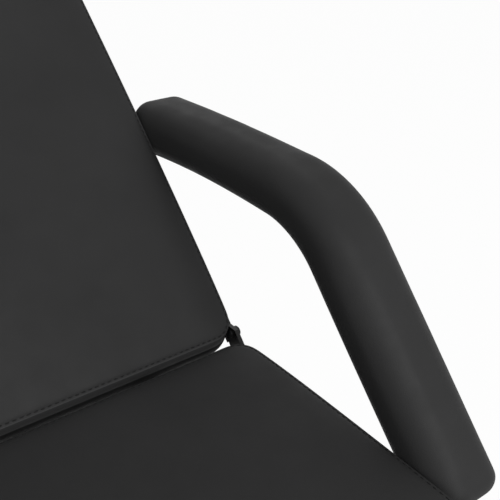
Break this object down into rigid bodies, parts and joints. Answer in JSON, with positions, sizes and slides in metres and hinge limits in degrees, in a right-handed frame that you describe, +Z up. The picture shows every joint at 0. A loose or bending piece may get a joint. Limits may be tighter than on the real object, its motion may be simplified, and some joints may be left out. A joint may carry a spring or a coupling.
{
  "type": "massage table",
  "caption": "Upholstered massage table: raised backrest, seat, hinged legrest and padded boomerang armrests on a splayed tubular steel frame with gas springs and release levers.",
  "frame": {"origin": "on the floor, below the middle of the table's box with the backrest raised", "axes": "+X from the head end to the foot end, +Y to the left of someone sitting on it, +Z up"},
  "size_m": [1.6071, 0.624, 1.1668],
  "materials": {
    "cover": "fine-grained matt charcoal",
    "frame": "gloss black",
    "cylinder": "satin black",
    "rod": "polished",
    "fixing": "zinc plated",
    "plywood": "bare birch plywood",
    "moulded": "black",
    "sole": "black"
  },
  "bodies": {
    "base": {"rail_left": "frame", "rail_right": "frame", "rail_end_caps": "moulded", "seat_rear_tube": "frame", "seat_front_tube": "frame", "seat_bolts": "fixing", "rear_leg_left": "frame", "rear_leg_right": "frame", "front_leg_left": "frame", "front_leg_right": "frame", "feet": "sole", "stretcher_left": "frame", "stretcher_right": "frame", "rear_strut_bar": "frame", "front_strut_bar": "frame", "backrest_hinge_plate_left": "frame", "backrest_hinge_plate_right": "frame", "legrest_hinge_plate_left": "frame", "legrest_hinge_plate_right": "frame", "pivot_pins": "fixing", "seat_cushion": "cover", "seat_board": "plywood", "armrest_socket_front_left": "frame", "armrest_socket_front_right": "frame", "armrest_socket_rear_left": "frame", "armrest_socket_rear_right": "frame"},
    "backrest": {"backrest_cushion": "cover", "backrest_board": "plywood", "backrest_side_tube_left": "frame", "backrest_side_tube_right": "frame", "backrest_strut_tube": "frame", "backrest_far_tube": "frame", "backrest_hinge_arm_left": "frame", "backrest_hinge_arm_right": "frame", "backrest_fasteners": "fixing", "backrest_end_caps": "moulded"},
    "backrest_cylinder": {"backrest_spring_cylinder": "cylinder"},
    "backrest_rod": {"backrest_spring_rod": "rod", "backrest_release_head": "moulded"},
    "backrest_lever": {"backrest_release_lever": "frame"},
    "legrest": {"legrest_cushion": "cover", "legrest_board": "plywood", "legrest_side_tube_left": "frame", "legrest_side_tube_right": "frame", "legrest_strut_tube": "frame", "legrest_far_tube": "frame", "legrest_hinge_arm_left": "frame", "legrest_hinge_arm_right": "frame", "legrest_fasteners": "fixing", "legrest_end_caps": "moulded"},
    "legrest_cylinder": {"legrest_spring_cylinder": "cylinder"},
    "legrest_rod": {"legrest_spring_rod": "rod", "legrest_release_head": "moulded"},
    "legrest_lever": {"legrest_release_lever": "frame"},
    "armrest_left": {"armrest_core_left": "frame", "armrest_pad_left": "cover"},
    "knob_left": {"armrest_knob_left": "moulded"},
    "armrest_right": {"armrest_core_right": "frame", "armrest_pad_right": "cover"},
    "knob_right": {"armrest_knob_right": "moulded"}
  },
  "joints": [
    {"name": "backrest_recline", "type": "hinge", "parent": "base", "child": "backrest", "pos_m": [-0.24161, 0, 0.628], "axis": [0, -1, 0], "range_deg": [0, 46]},
    {"name": "backrest_cylinder_turn", "type": "hinge", "parent": "base", "child": "backrest_cylinder", "pos_m": [-0.29539, 0, 0.33286], "axis": [0, -1, 0], "range_deg": [0, 23]},
    {"name": "backrest_rod_turn", "type": "hinge", "parent": "backrest", "child": "backrest_rod", "pos_m": [-0.5105, 0, 0.76104], "axis": [0, -1, 0], "range_deg": [-23, 0]},
    {"name": "backrest_lever_squeeze", "type": "hinge", "parent": "backrest", "child": "backrest_lever", "pos_m": [-0.53828, 0, 0.78982], "axis": [0, 1, 0], "range_deg": [0, 5], "stiffness_Nm_per_rad": 4, "springref_deg": -11.46},
    {"name": "legrest_lower", "type": "hinge", "parent": "base", "child": "legrest", "pos_m": [0.28759, 0, 0.55], "axis": [0, 1, 0], "range_deg": [0, 55]},
    {"name": "legrest_cylinder_turn", "type": "hinge", "parent": "base", "child": "legrest_cylinder", "pos_m": [0.11632, 0, 0.32849], "axis": [0, 1, 0], "range_deg": [0, 27.5]},
    {"name": "legrest_rod_turn", "type": "hinge", "parent": "legrest", "child": "legrest_rod", "pos_m": [0.56664, 0, 0.527], "axis": [0, 1, 0], "range_deg": [-27.5, 0]},
    {"name": "legrest_lever_squeeze", "type": "hinge", "parent": "legrest", "child": "legrest_lever", "pos_m": [0.60664, 0, 0.527], "axis": [0, -1, 0], "range_deg": [0, 5], "stiffness_Nm_per_rad": 4, "springref_deg": -11.46},
    {"name": "armrest_lift_left", "type": "slide", "parent": "base", "child": "armrest_left", "axis": [0, 0, 1], "range_m": [0, 0.08]},
    {"name": "knob_turn_left", "type": "hinge", "parent": "base", "child": "knob_left", "pos_m": [0.13613, 0.272, 0.515], "axis": [1, 0, 0], "continuous": true},
    {"name": "armrest_lift_right", "type": "slide", "parent": "base", "child": "armrest_right", "axis": [0, 0, 1], "range_m": [0, 0.08]},
    {"name": "knob_turn_right", "type": "hinge", "parent": "base", "child": "knob_right", "pos_m": [0.13613, -0.272, 0.515], "axis": [1, 0, 0], "continuous": true}
  ],
  "couplings": [
    {"joint": "backrest_cylinder_turn", "follows": "backrest_recline", "ratio": 0.5},
    {"joint": "backrest_rod_turn", "follows": "backrest_recline", "ratio": -0.5},
    {"joint": "legrest_cylinder_turn", "follows": "legrest_lower", "ratio": 0.5},
    {"joint": "legrest_rod_turn", "follows": "legrest_lower", "ratio": -0.5}
  ]
}
